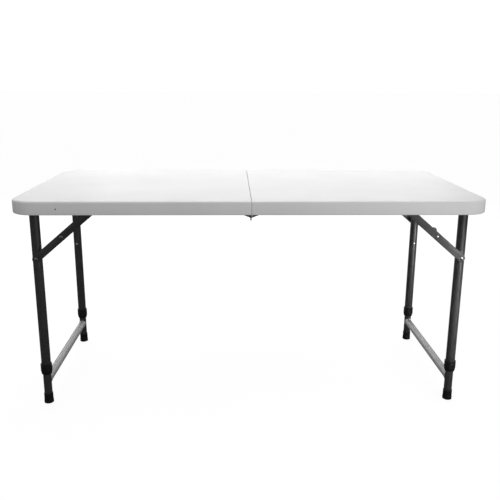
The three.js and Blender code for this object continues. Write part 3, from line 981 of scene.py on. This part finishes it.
def make_hinge(place, outward):
    """Both leaves and the pin of one centre hinge. The left leaf has a tab below the pin."""
    left, right = f"hinge_leaf_left_{place}", f"hinge_leaf_right_{place}"
    node = f"hinge_pin_{place}"
    pin_low, pin_high, pin = box_of(node)
    low, high, _ = box_of(left)
    leaf = plate(leaf_outline(-1, place), low.y, high.y)
    tab_top = pin.z - HINGE_TAB_BELOW_PIN
    tab_outline = [
        (-HINGE_TAB_HALF, low.z),
        (HINGE_TAB_HALF, low.z),
        (HINGE_TAB_HALF, tab_top),
        (-HINGE_TAB_HALF, tab_top),
    ]
    tab = plate([tab_outline], low.y + OVERLAP, high.y - OVERLAP)
    show(left, merged(leaf, tab), BLACK)
    leaf_in, leaf_out = sorted((abs(low.y), abs(high.y)))
    low, high, _ = box_of(right)
    outer = max(abs(low.y), abs(high.y))
    lug_in = outer - (leaf_out - leaf_in)
    lug = plate(leaf_outline(1, place), *sorted((outward * lug_in, outward * outer)))
    rim = box_of("top_right")[0].z + HINGE_CLEARANCE
    pack_outline = filleted(
        [
            (HINGE_PACKING_START, rim),
            (high.x, rim),
            (high.x, high.z),
            (HINGE_PACKING_START, high.z),
        ],
        0.0015,
    )
    packing = plate([pack_outline], *sorted((outward * leaf_in, outward * (lug_in + OVERLAP))))
    show(right, merged(lug, packing), BLACK)
    start, end = sorted((abs(pin_low.y), abs(pin_high.y)))
    wide = (pin_high.x - pin_low.x) / 2
    head = end - RIVET_HEAD
    profile = tail_of(wide, start) + [(HINGE_SHANK, start + RIVET_HEAD), (HINGE_SHANK, head)]
    profile += dome(wide, head, RIVET_HEAD)
    shape = along_y(turned(profile, SMALL_SIDES, False), pin.x, pin.z, outward)
    show(node, mesh_from(shape, node), RIVET)


for side_name, side_sign in (("left", -1), ("right", 1)):
    make_top(side_name, side_sign)
    make_pivot_tube(side_name)
    make_crossbar(side_name)
    for place_name, place_sign in (("near", -1), ("far", 1)):
        make_outer_leg(side_name, place_name, place_sign)
        make_inner_leg(side_name, place_name, place_sign)
        make_collar(side_name, place_name)
        make_foot_cap(side_name, place_name)
        make_button(side_name, place_name, place_sign)
        make_links(side_name, place_name)
        make_rivets(side_name, place_name, place_sign)
        make_rail(side_name, place_name, place_sign)
        make_bracket(side_name, place_name)
make_hinge("near", -1)
make_hinge("far", 1)


# ---------------------------------------------------------------- floor, light and camera


def make_floor():
    """A plain pale studio floor, level with the feet. It glows to the eye but hardly lights the table."""
    n = Nodes("floor")
    shade = n.noise(1.4, 2)
    clouding = n.ranged(shade, 0.3, 0.7, 0, 1)
    colour = n.mixed(clouding, (0.14, 0.14, 0.14), (0.15, 0.15, 0.15))
    n.finish(colour, n.ranged(shade, 0.3, 0.7, 0.85, 0.9), Specular_IOR_Level=0.0)
    n.shader.inputs["Emission Color"].default_value = (1, 1, 1, 1)
    seen = n.node("ShaderNodeLightPath").outputs["Is Camera Ray"]
    n.link(n.math("MULTIPLY", seen, FLOOR_GLOW), n.shader.inputs["Emission Strength"])
    mesh = bpy.data.meshes.new("floor")
    corners = [(x * FLOOR_REACH, y * FLOOR_REACH, 0) for x, y in ((-1, -1), (1, -1), (1, 1), (-1, 1))]
    mesh.from_pydata(corners, [], [(0, 1, 2, 3)])
    mesh.materials.append(n.material)
    floor = bpy.data.objects.new("floor", mesh)
    floor.location.z = cad_low.z - FLOOR_DROP
    bpy.context.scene.collection.objects.link(floor)


def hang(name, lamp, place, target):
    """Puts a lamp in place, aimed at a target, unseen by the camera."""
    holder = bpy.data.objects.new(name, lamp)
    holder.location = place
    holder.rotation_euler = (Vector(target) - Vector(place)).to_track_quat("-Z", "Y").to_euler()
    holder.visible_camera = False
    bpy.context.scene.collection.objects.link(holder)


def make_softbox(name, place, target, size, power, spread=180):
    """A lamp with a soft face. A grid on it narrows its spread, in degrees."""
    lamp = bpy.data.lights.new(name, "AREA")
    lamp.spread = math.radians(spread)
    lamp.shape = "RECTANGLE"
    lamp.size, lamp.size_y = size
    lamp.energy = power
    hang(name, lamp, place, target)


def make_world():
    """White behind everything, and a dimmer even light from all round."""
    world = bpy.data.worlds.new("studio")
    world.use_nodes = True
    tree = world.node_tree
    output = tree.nodes["World Output"]
    seen = tree.nodes["Background"]
    seen.inputs["Color"].default_value = (1, 1, 1, 1)
    seen.inputs["Strength"].default_value = BACKDROP
    around = tree.nodes.new("ShaderNodeBackground")
    around.inputs["Color"].default_value = (1, 1, 1, 1)
    around.inputs["Strength"].default_value = AMBIENT
    choose = tree.nodes.new("ShaderNodeMixShader")
    ray = tree.nodes.new("ShaderNodeLightPath")
    tree.links.new(ray.outputs["Is Camera Ray"], choose.inputs["Fac"])
    tree.links.new(around.outputs[0], choose.inputs[1])
    tree.links.new(seen.outputs[0], choose.inputs[2])
    tree.links.new(choose.outputs[0], output.inputs["Surface"])
    bpy.context.scene.world = world


def make_camera():
    """Stands a little left of the middle and looks slightly down, as at a table across a room."""
    level_ahead = Vector((math.sin(CAMERA_YAW), math.cos(CAMERA_YAW), 0))
    ahead = level_ahead * math.cos(CAMERA_PITCH) - Vector((0, 0, math.sin(CAMERA_PITCH)))
    right = Vector((math.cos(CAMERA_YAW), -math.sin(CAMERA_YAW), 0))
    up = right.cross(ahead)
    level = right * math.cos(CAMERA_ROLL) + up * math.sin(CAMERA_ROLL)
    upward = up * math.cos(CAMERA_ROLL) - right * math.sin(CAMERA_ROLL)
    data = bpy.data.cameras.new("camera")
    data.sensor_width = SENSOR
    data.lens = LENS
    data.dof.use_dof = False
    camera = bpy.data.objects.new("camera", data)
    turn = Matrix((level, upward, -ahead)).transposed().to_4x4()
    camera.matrix_world = Matrix.Translation(CAMERA_PLACE) @ turn
    bpy.context.scene.collection.objects.link(camera)
    bpy.context.scene.camera = camera


make_floor()
make_world()
make_camera()
make_softbox("front_box", (0.95, -1.35, 0.4), (0.45, 0, 0.35), (0.9, 0.8), 5)
make_softbox("low_box", (1.35, -1.3, 0.22), (0.55, 0.02, 0.27), (0.5, 0.1), 0.65, 22)
make_softbox("back_box", (0.3, 2.6, 1.3), (0, 0, 0.5), (2.6, 1.2), 35)
make_softbox("back_left_box", (-1.5, 2.2, 1.0), (0, 0, 0.5), (1.6, 1.2), 17)

view = bpy.context.scene.view_settings
view.view_transform = "Standard"
view.look = "None"
view.exposure = 0
view.gamma = 1
